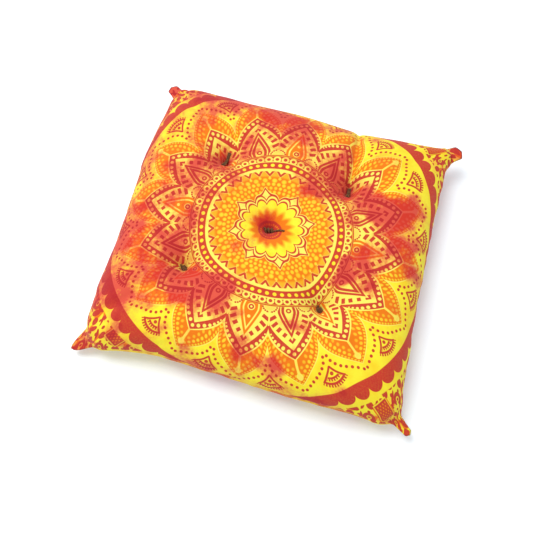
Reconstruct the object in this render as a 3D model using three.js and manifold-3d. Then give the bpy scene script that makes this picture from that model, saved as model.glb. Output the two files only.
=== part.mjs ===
// A square tufted meditation cushion: two printed cotton panels sewn edge to edge, stuffed,
// and drawn together by five tufts. Millimetres, +Z up. The cushion lies on z = 0 and the
// origin is under the middle of its box. -Y is the side nearest to whoever looks at it.

import * as THREE from 'three';
import * as BufferGeometryUtils from 'three/addons/utils/BufferGeometryUtils.js';
import Module from 'manifold-3d';

// Driving dimensions
const SIDE = 390;            // the sewn cushion, seam to seam at the middle of its sides
const HEIGHT = 82;           // the crown between the tufts, before the tufts pull it down
const SEAM_HEIGHT = 37;      // the seam above the floor, away from the corners
const TOP_ROUNDING = 82;     // how far in from the seam the top keeps rising
const FLOOR_ROUNDING = 60;   // how far in from the seam the underside meets the floor
const ROUNDNESS = 2.1;       // 2 is an ellipse, more is squarer
const TUFT_DEPTH = 27;       // how far a tuft pulls the top down
const TUFT_REACH = 20;       // how fast the pull fades along the top
const TUFT_SEAT = 4;         // the small level spot under a tuft's knot
const UNDER_DEPTH = 7;       // how far a tuft lifts the underside off the floor
const UNDER_REACH = 30;      // where the lifted cloth is back on the floor
const YARN = 3;              // the tuft yarn's thickness
const GAP = 0.3;             // clearance between the yarn and the cloth
const CELLS = 42;            // cells along one side of a panel's grid

// The seam as seen from above. "at" runs from -1 at one end of the side to 1 at the other,
// "out" is the seam's place across the side. The ends are the tips of the four ears, and the
// rows beside them give each ear its blunt end and its neck.
const SIDES = {
  left: [
    { at: -1, out: -208 }, { at: -0.95, out: -202 }, { at: -0.87, out: -197 }, { at: -0.5, out: -199 },
    { at: 0, out: -201 }, { at: 0.5, out: -203 }, { at: 0.87, out: -199 }, { at: 0.96, out: -206 },
    { at: 1, out: -206 },
  ],
  right: [
    { at: -1, out: 208 }, { at: -0.96, out: 204 }, { at: -0.86, out: 194 }, { at: -0.5, out: 190 },
    { at: 0, out: 188 }, { at: 0.5, out: 188.5 }, { at: 0.85, out: 191 }, { at: 0.93, out: 202 },
    { at: 1, out: 206 },
  ],
  near: [
    { at: -1, out: -199 }, { at: -0.94, out: -201 }, { at: -0.84, out: -198 }, { at: -0.5, out: -193 },
    { at: 0, out: -194 }, { at: 0.5, out: -200 }, { at: 0.86, out: -197.5 }, { at: 0.95, out: -200.5 },
    { at: 1, out: -202 },
  ],
  far: [
    { at: -1, out: 202 }, { at: -0.96, out: 202 }, { at: -0.87, out: 196 }, { at: -0.5, out: 194 },
    { at: 0, out: 190 }, { at: 0.36, out: 181 }, { at: 0.6, out: 184 }, { at: 0.85, out: 187 },
    { at: 0.95, out: 195 }, { at: 1, out: 191 },
  ],
};

// How high each ear's tip is, and how far back along the sides it bends the seam up or down
const EARS = [
  { x: -206, y: 202, height: 38, reach: 45 },
  { x: 206, y: 191, height: 42, reach: 45 },
  { x: -208, y: -199, height: 15, reach: 50 },
  { x: 208, y: -202, height: 18, reach: 55 },
];

// The tufts: place, and the knot and loose tails of yarn that show on top. Tail angles are in
// degrees from +X, lengths in mm along the cloth.
const TUFTS = [
  { name: 'middle', x: -11, y: -1, knot: [6, 4.4, 3], turn: 10, tails: [[-12, 17], [172, 6]] },
  { name: 'far_left', x: -93, y: 85, knot: [4.4, 3, 2.4], turn: 68, tails: [[66, 10], [246, 9]] },
  { name: 'far_right', x: 73, y: 79, knot: [4.4, 3, 2.4], turn: 80, tails: [[80, 9], [262, 10]] },
  { name: 'near_left', x: -98, y: -77, knot: [5, 4, 2.8], turn: -60, tails: [[-52, 7], [140, 5]] },
  { name: 'near_right', x: 75, y: -89, knot: [4.8, 4.4, 2.8], turn: 20, tails: [[120, 5], [-70, 5]] },
];

// Creases in the top: a soft trough from one point to another
const CREASES = [
  { from: [73, 93], to: [67, 186], depth: 7, width: 9 },
  { from: [-176, 172], to: [-131, 130], depth: 4, width: 9 },
  { from: [176, 164], to: [131, 124], depth: 4, width: 9 },
  { from: [-180, -172], to: [-135, -130], depth: 4.5, width: 9 },
  { from: [176, -176], to: [125, -132], depth: 3.5, width: 9 },
  { from: [-81, 98], to: [-55, 148], depth: 2.5, width: 9 },
  { from: [89, -80], to: [147, -54], depth: 2.5, width: 9 },
];

const COLOURS = {
  cloth: { color: 0xf08a2a, roughness: 0.85, metalness: 0 },
  yarn: { color: 0x3c2a16, roughness: 0.9, metalness: 0 },
};

const HALF = SIDE / 2;
const { lerp, degToRad } = THREE.MathUtils;

// A smooth curve through a table's rows, from the row before and the row after each point
function alongTable(rows, at) {
  let k = 0;
  while (k < rows.length - 2 && at > rows[k + 1].at) k += 1;
  const [start, end] = [rows[k], rows[k + 1]];
  const before = rows[Math.max(k - 1, 0)];
  const after = rows[Math.min(k + 2, rows.length - 1)];
  const span = end.at - start.at;
  const t = (at - start.at) / span;
  const slopeIn = (end.out - before.out) / (end.at - before.at) * span;
  const slopeOut = (after.out - start.out) / (after.at - start.at) * span;
  return (2 * t ** 3 - 3 * t ** 2 + 1) * start.out + (t ** 3 - 2 * t ** 2 + t) * slopeIn
    + (3 * t ** 2 - 2 * t ** 3) * end.out + (t ** 3 - t ** 2) * slopeOut;
}

// Grid lines from -1 to 1, closer together at the seam and through the tufts
function gridLines() {
  const samples = 2000;
  const density = (u) => 1 + 2.2 * Math.exp(-(1 - Math.abs(u)) / 0.05)
    + 0.6 * Math.exp(-(((Math.abs(u) - 0.43) / 0.07) ** 2)) + 0.6 * Math.exp(-((u / 0.07) ** 2));
  const sums = [0];
  for (let i = 0; i < samples; i += 1) {
    sums.push(sums[i] + density(-1 + 2 * (i + 0.5) / samples));
  }
  const lines = [];
  let i = 0;
  for (let k = 0; k <= CELLS; k += 1) {
    const wanted = sums[samples] * k / CELLS;
    while (i < samples - 1 && sums[i + 1] < wanted) i += 1;
    lines.push(-1 + 2 * (i + (wanted - sums[i]) / (sums[i + 1] - sums[i])) / samples);
  }
  lines[0] = -1;
  lines[CELLS] = 1;
  return lines;
}

// A panel point's place seen from above
function planPoint(u, v) {
  const x = lerp(alongTable(SIDES.left, v), alongTable(SIDES.right, v), (u + 1) / 2);
  const y = lerp(alongTable(SIDES.near, u), alongTable(SIDES.far, u), (v + 1) / 2);
  return new THREE.Vector2(x, y);
}

// How full the cushion is at a panel point: 0 on the seam, 1 well inside
function fullness(u, v, rounding) {
  const rise = (w) => {
    const inside = Math.min(1, HALF * (1 - Math.abs(w)) / rounding);
    return (1 - (1 - inside) ** ROUNDNESS) ** (1 / ROUNDNESS);
  };
  return rise(u) * rise(v);
}

function seamHeight(x, y) {
  let height = SEAM_HEIGHT;
  for (const ear of EARS) {
    const away = Math.hypot(x - ear.x, y - ear.y) / ear.reach;
    height += (ear.height - SEAM_HEIGHT) * Math.exp(-(away ** 1.6));
  }
  return height;
}

// The pull of the tufts on the top, 0 to 1
function tuftPull(x, y) {
  let pull = 0;
  for (const tuft of TUFTS) {
    const away = Math.hypot(x - tuft.x, y - tuft.y);
    pull += Math.exp(-(Math.hypot(away, TUFT_SEAT) - TUFT_SEAT) / TUFT_REACH);
  }
  return Math.min(pull, 1);
}

function creaseDepth(x, y) {
  let depth = 0;
  for (const { from, to, depth: deepest, width } of CREASES) {
    const [dx, dy] = [to[0] - from[0], to[1] - from[1]];
    const along = ((x - from[0]) * dx + (y - from[1]) * dy) / (dx * dx + dy * dy);
    const nearest = Math.min(1, Math.max(0, along));
    const away = Math.hypot(x - from[0] - nearest * dx, y - from[1] - nearest * dy);
    depth += deepest * Math.exp(-((away / width) ** 2));
  }
  return depth;
}

function topHeight(u, v, x, y) {
  const seam = seamHeight(x, y);
  const full = fullness(u, v, TOP_ROUNDING);
  const pulledDown = TUFT_DEPTH * tuftPull(x, y) + creaseDepth(x, y);
  return seam + (HEIGHT - seam - pulledDown) * full;
}

// The underside lies flat on the floor, lifted a little where the tufts hold it up
function underHeight(u, v, x, y) {
  const full = fullness(u, v, FLOOR_ROUNDING);
  let lifted = 0;
  for (const tuft of TUFTS) {
    const away = Math.min(1, Math.hypot(x - tuft.x, y - tuft.y) / UNDER_REACH);
    lifted += UNDER_DEPTH * (1 - away) ** 2;
  }
  return seamHeight(x, y) * (1 - full) + lifted * full;
}

// Both panels' points seen from above, with the grid nudged so that a point lies at each tuft
function planGrid() {
  const lines = gridLines();
  const grid = lines.map((v) => lines.map((u) => ({ u, v, place: planPoint(u, v) })));
  const all = grid.flat();
  for (const tuft of TUFTS) {
    const centre = new THREE.Vector2(tuft.x, tuft.y);
    const nearest = all.reduce((a, b) => (a.place.distanceTo(centre) < b.place.distanceTo(centre) ? a : b));
    const from = nearest.place.clone();
    const shift = centre.clone().sub(from);
    for (const point of all) {
      const fade = Math.exp(-((point.place.distanceTo(from) / 28) ** 2));
      const inside = Math.min(1, 8 * (1 - Math.abs(point.u)), 8 * (1 - Math.abs(point.v)));
      point.place.addScaledVector(shift, fade * inside);
    }
  }
  return grid;
}

// One closed surface: the top and underside panels share the points of the seam
function cushionGeometry() {
  const grid = planGrid();
  const positions = [];
  const addPoint = ({ u, v, place: { x, y } }, height) => positions.push(x, y, height(u, v, x, y)) / 3 - 1;
  const onSeam = (i, j) => i === 0 || j === 0 || i === CELLS || j === CELLS;
  const top = grid.map((row) => row.map((point) => addPoint(point, topHeight)));
  const under = grid.map((row, j) => row.map((point, i) => (
    onSeam(i, j) ? top[j][i] : addPoint(point, underHeight))));

  // Each cell's diagonal runs from the middle towards the nearest corner, so an ear is folded
  // along its own length
  const index = [];
  const addCell = (p, i, j, facingUp) => {
    const [a, b, c, d] = [p[j][i], p[j][i + 1], p[j + 1][i + 1], p[j + 1][i]];
    const sameSign = (i - CELLS / 2 + 0.5) * (j - CELLS / 2 + 0.5) > 0;
    const corners = sameSign ? [a, b, c, a, c, d] : [a, b, d, b, c, d];
    index.push(...(facingUp ? corners : corners.reverse()));
  };
  for (let j = 0; j < CELLS; j += 1) {
    for (let i = 0; i < CELLS; i += 1) {
      addCell(top, i, j, true);
      addCell(under, i, j, false);
    }
  }
  const geometry = new THREE.BufferGeometry();
  geometry.setAttribute('position', new THREE.Float32BufferAttribute(positions, 3));
  geometry.setIndex(index);
  geometry.computeVertexNormals();
  return geometry;
}

// The cloth's height at a point seen from above, on the panel that faces up or down
function clothHeight(cloth, x, y, facingUp) {
  const position = cloth.getAttribute('position');
  const index = cloth.getIndex().array;
  const [a, b, c, weights, spot] = Array.from({ length: 5 }, () => new THREE.Vector3());
  for (let k = 0; k < index.length; k += 3) {
    [a, b, c].forEach((corner, n) => corner.fromBufferAttribute(position, index[k + n]));
    const turn = (b.x - a.x) * (c.y - a.y) - (b.y - a.y) * (c.x - a.x);
    if ((turn > 0) === facingUp && Math.abs(turn) > 1e-9) {
      const heights = [a.z, b.z, c.z];
      a.z = 0;
      b.z = 0;
      c.z = 0;
      THREE.Triangle.getBarycoord(spot.set(x, y, 0), a, b, c, weights);
      if (Math.min(weights.x, weights.y, weights.z) >= -1e-9) {
        return heights[0] * weights.x + heights[1] * weights.y + heights[2] * weights.z;
      }
    }
  }
  throw new Error(`no cloth at ${x}, ${y}`);
}

// A length of yarn along a route, its ends cut square
function yarnGeometry(route, sides) {
  const section = new THREE.Shape();
  section.absarc(0, 0, YARN / 2, 0, 2 * Math.PI);
  const curve = new THREE.CatmullRomCurve3(route);
  const steps = 2 * (route.length - 1);
  return new THREE.ExtrudeGeometry(section, { steps, curveSegments: sides, extrudePath: curve });
}

const wasm = await Module();
wasm.setup();

function toSolid(geometry) {
  const bare = geometry.clone();
  bare.deleteAttribute('normal');
  bare.deleteAttribute('uv');
  const merged = BufferGeometryUtils.mergeVertices(bare, 1e-4);
  const vertProperties = new Float32Array(merged.getAttribute('position').array);
  const triVerts = new Uint32Array(merged.getIndex().array);
  return new wasm.Manifold(new wasm.Mesh({ numProp: 3, vertProperties, triVerts }));
}

function toGeometry(solid) {
  const mesh = solid.getMesh();
  const geometry = new THREE.BufferGeometry();
  geometry.setAttribute('position', new THREE.Float32BufferAttribute(mesh.vertProperties, 3));
  geometry.setIndex(Array.from(mesh.triVerts));
  geometry.computeVertexNormals();
  return geometry;
}

// A route over the cloth, with the yarn's middle the same height above every point of it
function routeOver(cloth, points, lift, facingUp) {
  const away = (facingUp ? 1 : -1) * lift;
  return points.map(([x, y]) => new THREE.Vector3(x, y, clothHeight(cloth, x, y, facingUp) + away));
}

// Moves a solid straight up or down until it just clears the cloth
function seatOn(cloth, geometry, facingUp) {
  const position = geometry.getAttribute('position');
  const way = facingUp ? 1 : -1;
  let lift = -Infinity;
  for (let k = 0; k < position.count; k += 1) {
    const height = clothHeight(cloth, position.getX(k), position.getY(k), facingUp);
    lift = Math.max(lift, way * (height - position.getZ(k)) + GAP);
  }
  geometry.translate(0, 0, way * lift);
  return geometry;
}

// A tuft's tie on top: a small knot with its tails of yarn lying up the sides of the dimple
function tieGeometry(cloth, tuft) {
  const [long, wide, high] = tuft.knot;
  const knot = new THREE.SphereGeometry(1, 14, 9);
  knot.rotateX(Math.PI / 2);
  knot.scale(long, wide, high);
  knot.rotateZ(degToRad(tuft.turn));
  const level = clothHeight(cloth, tuft.x, tuft.y, true) + GAP;
  knot.translate(tuft.x, tuft.y, level + high);
  let tie = toSolid(knot);
  for (const [angle, length] of tuft.tails) {
    const steps = Math.max(3, Math.round(length / 3));
    const heading = degToRad(angle);
    const points = Array.from({ length: steps + 1 }, (_, k) => {
      const reach = 1 + (length - 1) * k / steps;
      return [tuft.x + reach * Math.cos(heading), tuft.y + reach * Math.sin(heading)];
    });
    const route = routeOver(cloth, points, YARN / 2 + 2 * GAP, true);
    tie = tie.add(toSolid(yarnGeometry(route, 4)));
  }
  return seatOn(cloth, toGeometry(tie), true);
}

// The same tuft underneath: one plain stitch, lying in the lifted spot clear of the floor
function stitchGeometry(cloth, tuft) {
  const reach = 3.5;
  const heading = degToRad(tuft.turn);
  const points = [-1, -0.4, 0.4, 1].map((k) => (
    [tuft.x + k * reach * Math.cos(heading), tuft.y + k * reach * Math.sin(heading)]));
  const route = routeOver(cloth, points, YARN / 2, false);
  return seatOn(cloth, yarnGeometry(route, 4), false);
}

function piece(name, geometry, finish) {
  const mesh = new THREE.Mesh(geometry, new THREE.MeshStandardMaterial(finish));
  mesh.name = name;
  return mesh;
}

const group = new THREE.Group();
const cloth = cushionGeometry();
group.add(piece('cushion', cloth, COLOURS.cloth));
for (const tuft of TUFTS) {
  group.add(piece(`tie_${tuft.name}`, tieGeometry(cloth, tuft), COLOURS.yarn));
  group.add(piece(`stitch_${tuft.name}`, stitchGeometry(cloth, tuft), COLOURS.yarn));
}

export default group;
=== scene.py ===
# The looks of a square tufted meditation cushion: its stuffed cotton body, the printed and
# dyed cloth, and the yarn of its five tufts. Lengths are in mm up to where a mesh or a texture is
# made. The camera, the lamp and the floor are placed in metres.

import math

import bpy
import numpy as np
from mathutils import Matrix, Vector
from mathutils.bvhtree import BVHTree


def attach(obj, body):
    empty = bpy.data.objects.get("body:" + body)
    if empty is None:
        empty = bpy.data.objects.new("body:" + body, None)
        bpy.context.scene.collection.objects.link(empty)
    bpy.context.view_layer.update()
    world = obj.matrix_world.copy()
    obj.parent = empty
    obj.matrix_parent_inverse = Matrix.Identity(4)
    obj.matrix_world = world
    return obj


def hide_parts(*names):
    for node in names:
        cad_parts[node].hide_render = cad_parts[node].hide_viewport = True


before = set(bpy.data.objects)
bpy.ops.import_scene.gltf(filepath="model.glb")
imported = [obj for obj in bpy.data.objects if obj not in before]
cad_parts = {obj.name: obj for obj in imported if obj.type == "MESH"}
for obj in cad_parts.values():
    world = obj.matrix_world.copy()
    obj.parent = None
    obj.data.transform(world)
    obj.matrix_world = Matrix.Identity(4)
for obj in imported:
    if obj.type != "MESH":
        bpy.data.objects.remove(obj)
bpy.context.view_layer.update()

MM = 0.001

# Camera, solved from the places of the ears and tufts in the photograph
PHOTO_PIXELS = 533
SENSOR_MM = 36.0
CAMERA = {
    "focal_pixels": 787.6,
    "azimuth": 16.15,
    "elevation": 62.16,
    "roll": -1.15,
    "distance": 0.991,
    "target": (-0.0045, -0.0374, 0.030),
}

# The cushion, in mm: its side between the seams, the top and the seam over the floor, and how far in
# from the seam the top and the underside level out, on a curve of this roundness
SIDE = 390.0
CROWN = 82.0
SEAM_HEIGHT = 37.0
TOP_ROUNDING = 82.0
FLOOR_ROUNDING = 60.0
ROUNDNESS = 2.1
# How steeply the seam bends up or down to an ear
SEAM_BEND = 1.6
# How deep and how far round it a tuft pulls the top in, its flat seat, and how it lifts the underside
TUFT_DEPTH = 27.0
TUFT_REACH = 20.0
TUFT_SEAT = 4.0
UNDER_DEPTH = 7.0
UNDER_REACH = 30.0
# The side of each panel as it is cut, and the grid cells across it while it settles and at the end
CUT_SIDE = 434.0
SIM_CELLS = 96
FINE_CELLS = 216
# Points along half a section, to measure the cloth over it
SECTION_POINTS = 2001

# The seam from above, side by side: (how far along the side from -1 to 1, its place across)
SIDES = {
    "left": [(-1, -208), (-0.95, -202), (-0.87, -197), (-0.5, -197.5), (-0.2, -198), (0, -200),
             (0.3, -204.5), (0.5, -204), (0.87, -200), (0.96, -206), (1, -206)],
    "right": [(-1, 208), (-0.96, 204), (-0.86, 194), (-0.5, 190), (0, 188), (0.5, 188.5),
              (0.85, 191), (0.93, 202), (1, 206)],
    "near": [(-1, -199), (-0.94, -199), (-0.84, -195.5), (-0.5, -188.5), (-0.3, -190), (0, -194),
             (0.18, -196.5), (0.5, -198), (0.7, -198), (0.86, -199.5), (0.95, -201), (1, -202)],
    "far": [(-1, 202), (-0.96, 202), (-0.87, 200.5), (-0.75, 199.5), (-0.5, 195), (0, 190), (0.36, 181),
            (0.6, 184), (0.85, 187), (0.95, 194), (1, 191)],
}

# Ears: tip, its height, how far back it bends the seam, the way it points in degrees, how far back
# the cloth follows it wholly and then in part, and its half width at distances back from the tip
EARS = [
    {"tip": (-210, 202), "height": 38, "reach": 45, "points": 146, "follows": (18, 44),
     "widths": [(0, 0), (1.4, 5.0), (2.8, 6.8), (4.3, 7.8), (6, 8.2), (12, 8.8), (20, 11.5), (26, 16),
                (32, 21), (44, 34), (70, 70)]},
    {"tip": (205.5, 192.5), "height": 41, "reach": 45, "points": 33, "follows": (18, 44),
     "widths": [(0, 0), (1.4, 6.2), (2.8, 8.6), (4.3, 9.9), (6, 10.6), (11, 11), (17, 12), (26, 16),
                (32, 21), (44, 34), (70, 70)]},
    {"tip": (-209.5, -200), "height": 13, "reach": 50, "points": 219, "follows": (20, 52),
     "widths": [(0, 0), (2, 3), (10, 7.5), (24, 12.5), (34, 19), (46, 40), (70, 70)]},
    {"tip": (210.5, -200.5), "height": 17, "reach": 55, "points": -35, "follows": (20, 52),
     "widths": [(0, 0), (1.5, 3.5), (5, 4.8), (16, 6.2), (26, 9), (38, 26), (50, 48), (70, 70)]},
]

# Tufts: place, the knot's half length and thickness, the way it lies, its tails (way, length), how far
# it draws the cloth in, and how far the cloth has slipped over it. No knot is a straight stitch.
TUFTS = {
    "middle": {"place": (-11, -1), "knot": (6.5, 2.2), "lies": 8, "tails": ((-14, 22), (172, 7)),
               "gathers": 2.5, "slipped": (4.8, -3.0)},
    "far_left": {"place": (-93, 85), "knot": None, "lies": 78, "tails": ((78, 11), (258, 6)),
                 "gathers": 5.0, "slipped": (0, 0)},
    "far_right": {"place": (73, 79), "knot": None, "lies": 92, "tails": ((92, 9), (272, 7)),
                  "gathers": 5.0, "slipped": (0, 0)},
    "near_left": {"place": (-98, -77), "knot": (4.2, 2.2), "lies": -50, "tails": ((-46, 7), (150, 6)),
                  "gathers": 4.5, "slipped": (0, 0)},
    "near_right": {"place": (75, -89), "knot": (4.0, 2.4), "lies": 20, "tails": ((120, 6), (-70, 5)),
                   "gathers": 4.5, "slipped": (0, 0)},
}
GATHER_REACH = 28.0
TUFT_HELD = 5.0

# The yarn: its thickness, the length of one twist, its plies as shares of its thickness, its loose
# fibres, the turns of a knot, the strands of a straight stitch, and half a stitch underneath
YARN = 2.8
YARN_TWIST = 7.0
YARN_STEP = 0.45
PLIES = 3
PLY_PLACE = 0.24
PLY_RADIUS = 0.25
PLY_SIDES = 7
FIBRES = 30
FIBRE_RADIUS = 0.05
FIBRE_SIDES = 3
FIBRE_BEND = 0.35
KNOT_TURNS = 2.4
STRANDS = 2
UNDER_STITCH = 4.2

# Where the cloth lies a little off the plain grid: place, shift, reach
SLIPS = [
    ((-135, -10), (-5.0, -3.5), 85), ((-165, 165), (-4.0, 8.0), 60), ((165, 135), (0.0, 10.0), 60),
    ((170, -150), (6.0, 0.0), 70), ((0, 120), (3.0, 3.0), 60), ((-60, -135), (2.0, -4.0), 60),
]

# Creases in the top: from, to, depth, half width
CREASES = [
    ((73, 93), (67, 186), 7.0, 9.0),
    ((-176, 172), (-131, 130), 4.0, 9.0),
    ((176, 164), (131, 124), 4.0, 9.0),
    ((-180, -172), (-135, -130), 4.5, 9.0),
    ((176, -176), (125, -132), 3.5, 9.0),
    ((-81, 98), (-55, 148), 2.5, 9.0),
    ((89, -80), (147, -54), 2.5, 9.0),
]

# Sharper folds pressed into the cloth: from, to, depth, half width at its start and end
FOLDS = [
    ((73, 84), (70, 150), 5.5, 2.6, 4.5), ((70, 150), (64, 192), 4.5, 3.5, 3.0),
    ((-93, 85), (-128, 96), 2.6, 2.4, 5.0), ((-93, 85), (-84, 132), 2.2, 2.4, 5.0),
    ((-93, 85), (-62, 66), 1.8, 2.4, 5.0), ((73, 79), (112, 96), 2.2, 2.4, 5.0),
    ((73, 79), (46, 52), 2.0, 2.4, 5.0), ((73, 79), (100, 46), 1.8, 2.4, 5.0),
    ((-98, -77), (-146, -92), 2.2, 2.4, 5.0), ((-98, -77), (-72, -44), 1.8, 2.4, 5.0),
    ((-98, -77), (-104, -128), 2.0, 2.4, 5.0), ((75, -89), (122, -74), 2.0, 2.4, 5.0),
    ((75, -89), (92, -136), 2.0, 2.4, 5.0), ((75, -89), (42, -62), 1.6, 2.4, 5.0),
    ((186, 190), (196, 166), 6.0, 3.5, 4.0), ((-196, -196), (-170, -186), 7.0, 3.5, 5.0),
    ((-178, 198), (-190, 180), 5.0, 3.5, 4.0), ((186, -196), (198, -178), 5.0, 3.5, 4.0),
]
FOLD_FADE = 0.6

# Short puckers round each tuft: number, depth, where they start and end, half width at both ends
PUCKERS = 9
PUCKER_DEPTH = 2.4
PUCKER_START = 3
PUCKER_ENDS = (16, 34)
PUCKER_WIDTHS = (1.8, 4.0)
PUCKER_FADE = 1.3

# Lumps of the filling: height, and bumps across the cushion
LUMPS = [(1.5, 9), (0.5, 24)]

# The seam: its groove, the small puckers beside it and its slow waves, with how far each reaches in
# and its bumps along a side, and how near to it the folds and lumps fade out
SEAM_GROOVE = 1.3
GROOVE_REACH = 1.6
GROOVE_BUMPS = 44
SEAM_PUCKER = 0.9
PUCKER_BAND = 5
SEAM_PUCKER_BUMPS = 46
SEAM_WAVE = 1.4
WAVE_REACH = 22
WAVE_BUMPS = 22
SEAM_FADE = 14
SEED = 11

# The print is sixteen sectors round a middle. Along is measured outwards on a petal's midline and
# across from it. First the petals: half width, where the tip starts, its length and its bluntness.
SECTOR = 22.5
OUTER_PETAL = (25.6, 128.6, 39, 2.1)
INNER_PETAL = (23.5, 124, 34, 1.45)
BACK_PETAL = (30.6, 154, 41.5, 1.9)
TEARDROP = (12.6, 111, 33, 1.25)
# Dots on the petal borders (along, across, radius), blocks inside the petals (along, across, half
# length, half width, lean in degrees), dark dots round the petals (along, across)
BORDER_DOTS = [(162, 0, 2.1), (158, 6, 2.2), (153.5, 11.8, 2.2), (149, 16.6, 2.0),
               (144.5, 20, 1.7), (140, 22.2, 1.3), (136, 23.5, 1.0)]
BLOCKS = [(117, 19.3, 4.6, 2.2, 25), (125, 17.8, 4.0, 2.1, 33), (132, 13.6, 3.1, 2.3, 40),
          (139.3, 7.8, 2.6, 2.2, 42), (146.3, 0, 3.2, 3.2, 45)]
DARK_DOTS = [(169.5, 31.4), (175.7, 30.6), (181.2, 27.8), (186, 23.8),
             (189.7, 18.9), (193.2, 13.4), (196.7, 8), (200.7, 2.5)]
DARK_DOT = 1.8
# Rings of dots on the stippled field: number, angle of the first, ring's radius, dot's radius, blur
VEE_TURN = -3.8
VEE_PITCH = 10
FIELD_DOTS = [(54, 0, 50.5, 1.9, 1.5), (60, 3, 55.5, 1.9, 1.5), (60, 0, 60.5, 2.2, 1.5),
              (36, VEE_TURN + 5, 65.5, 2.8, 2), (36, VEE_TURN, 68.5, 1.8, 1.2)]
BAND_DOTS = 64
# Radii where the print's parts start or end
DISC = 16.5
FIELD_EDGE = 79
PETAL_FOOT = 103.6
ARCH_MIDDLE = 103
TIPS_START = 122
FAN_MIDDLE = 183
BORDER_START = 210
BORDER_END = 218
SCALLOP = 9
CORNER_START = 231
# The stippled squares in the corners, and the pitch of the figures round them
CORNER_SQUARE = (156, 181)
CORNER_SHIFT = 12
CORNER_PITCH = 29
SQUARE_HALF = 10.4
STIPPLE = (5.6, 5.0)
PRINT_CENTRE = (1.9, -6.3)
PRINT_STRETCH = (1.008, 0.970)
DEGREE = math.pi / 180
BLUR = 0.6

# Where the red dye was poured, in the print's coordinates: x, y, radius, strength. The patch at (206, -12)
# is painted shade on the slope down to the right seam, not dye.
DYE_AND_SHADE_PATCHES = [
    (150, 52, 46, 1.0), (108, 74, 34, 0.85), (172, 72, 24, 0.7), (166, 18, 30, 0.8), (184, -10, 26, 0.85),
    (120, -14, 34, 0.85), (102, -30, 24, 0.8), (132, -38, 22, 0.7), (150, -60, 20, 0.45),
    (90, 45, 26, 0.6), (62, 108, 34, 0.8), (78, 88, 30, 1.0), (38, 74, 30, 0.85), (60, 130, 24, 0.6),
    (16, 128, 26, 0.55), (-89, 84, 29, 0.95), (-112, 66, 28, 0.7), (-58, 116, 26, 0.5),
    (-48, 142, 20, 0.35), (-14, 120, 30, 0.55), (-54, 174, 34, 0.8), (-20, 160, 34, 0.85),
    (18, 168, 26, 0.55), (50, 174, 28, 0.5), (-95, 165, 26, 0.55), (-122, 132, 26, 0.4),
    (-136, 102, 22, 0.35), (-110, 182, 30, 0.6), (-148, 50, 30, 0.4), (-118, 40, 30, 0.55),
    (-140, 10, 28, 0.55), (-108, -12, 24, 0.75), (-170, -22, 36, 0.7), (-150, -48, 26, 0.4),
    (-188, -60, 36, 1.0), (-165, -75, 26, 0.5), (-132, -82, 34, 0.65), (-108, -98, 34, 0.85),
    (-78, -92, 34, 1.0), (-50, -96, 30, 1.0), (-84, -122, 30, 0.9), (-58, -118, 24, 0.7),
    (-32, -108, 28, 0.85), (-62, -140, 18, 0.5), (-31, -128, 21, 1.0), (-178, -112, 34, 0.75),
    (-160, -140, 30, 0.6), (0, -166, 28, 0.75), (-14, -150, 18, 0.5), (50, -166, 20, 0.65),
    (62, -150, 14, 0.5), (116, -176, 26, 0.55), (-100, -170, 20, 0.45), (-60, -175, 22, 0.45),
    (-8, 9, 23, 0.8), (-92, 20, 26, 0.5), (-70, 60, 26, 0.5), (-215, 60, 50, 0.6), (-215, -20, 46, 0.6),
    (-217, 140, 46, 0.45), (-212, -120, 46, 0.7), (-217, 222, 62, 0.95), (-212, -215, 52, 0.9),
    (215, 222, 44, 0.7), (222, -60, 40, 0.5), (-100, 217, 60, 0.6), (40, 219, 50, 0.5),
    (214, 60, 34, 0.5), (-60, -216, 46, 0.8), (90, -217, 44, 0.75), (152, 0, 24, 0.9), (125, 52, 34, 0.8),
    (150, 74, 26, 0.7), (100, 98, 22, 0.5), (122, 4, 20, 0.4), (100, -26, 24, 0.7), (-172, 28, 24, 0.3),
    (-110, -26, 20, 0.5), (-125, -48, 28, 0.8), (-104, -54, 20, 0.4), (-26, -100, 24, 0.9),
    (-148, -124, 30, 0.7), (-125, -134, 26, 0.5), (-150, -100, 24, 0.5), (-150, -170, 30, 0.6),
    (48, -174, 26, 0.75), (26, -172, 22, 0.6), (50, -118, 26, 0.5), (-28, -34, 24, 0.45),
    (76, -200, 28, 0.6), (26, 98, 22, 0.6), (-50, 98, 24, 0.6), (2, 146, 26, 0.6), (-124, 150, 28, 0.4),
    (-148, 172, 30, 0.6), (-38, 176, 30, 0.6), (90, 172, 26, 0.4), (-120, -204, 34, 0.25),
    (0, -212, 40, 0.75), (180, 140, 22, 0.35), (0, -20, 21, 0.65), (44, -202, 28, 0.5),
    # The patch at (206, -12) is painted shade: it darkens the slope down to the right seam.
    (-44, -204, 30, 0.55), (186, -192, 46, 0.45), (58, -108, 30, 0.4), (206, -12, 34, 0.5),
    (175, -62, 26, 0.4), (168, -96, 22, 0.35), (122, 142, 24, 0.35), (-130, -217, 36, 0.4),
    (150, -216, 40, 0.55), (217, 130, 40, 0.4), (120, 200, 30, 0.5),
]

# How far the patches spread and how full they are, how the dye's edges wander (mm, bumps across), the
# faint wash over the whole cloth, and how much of the underside stayed dry
DYE_SPREAD = 1.12
DYE_FULL = 0.94
DYE_WANDER = [(9, 16), (4, 40)]
DYE_WASH = 0.17
WASH_SLOPES = (1000, 1500)
UNDER_DRY = 0.6
# The dye's blotches and flecks, and how the dye warms a colour and then turns it red: slope, start, most
BLOTCHING = 0.9
FLECKING = 0.35
WARMING = (2.3, -0.55, 0.88)
REDDENING = (2.9, -1.25, 0.93)

# Noises on cloth and yarn: bumps in a mm, detail
MOTTLE = (0.05, 4.0)
BLOTCHES = (0.07, 4.0)
FLECKS = (0.35, 2.0)
WEAR = (0.5, 3.0)
SLUBS = (0.9, 3.0)
YARN_SHADES = (0.45, 3.0)
YARN_HAIR = (3.5, 2.0)

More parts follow.
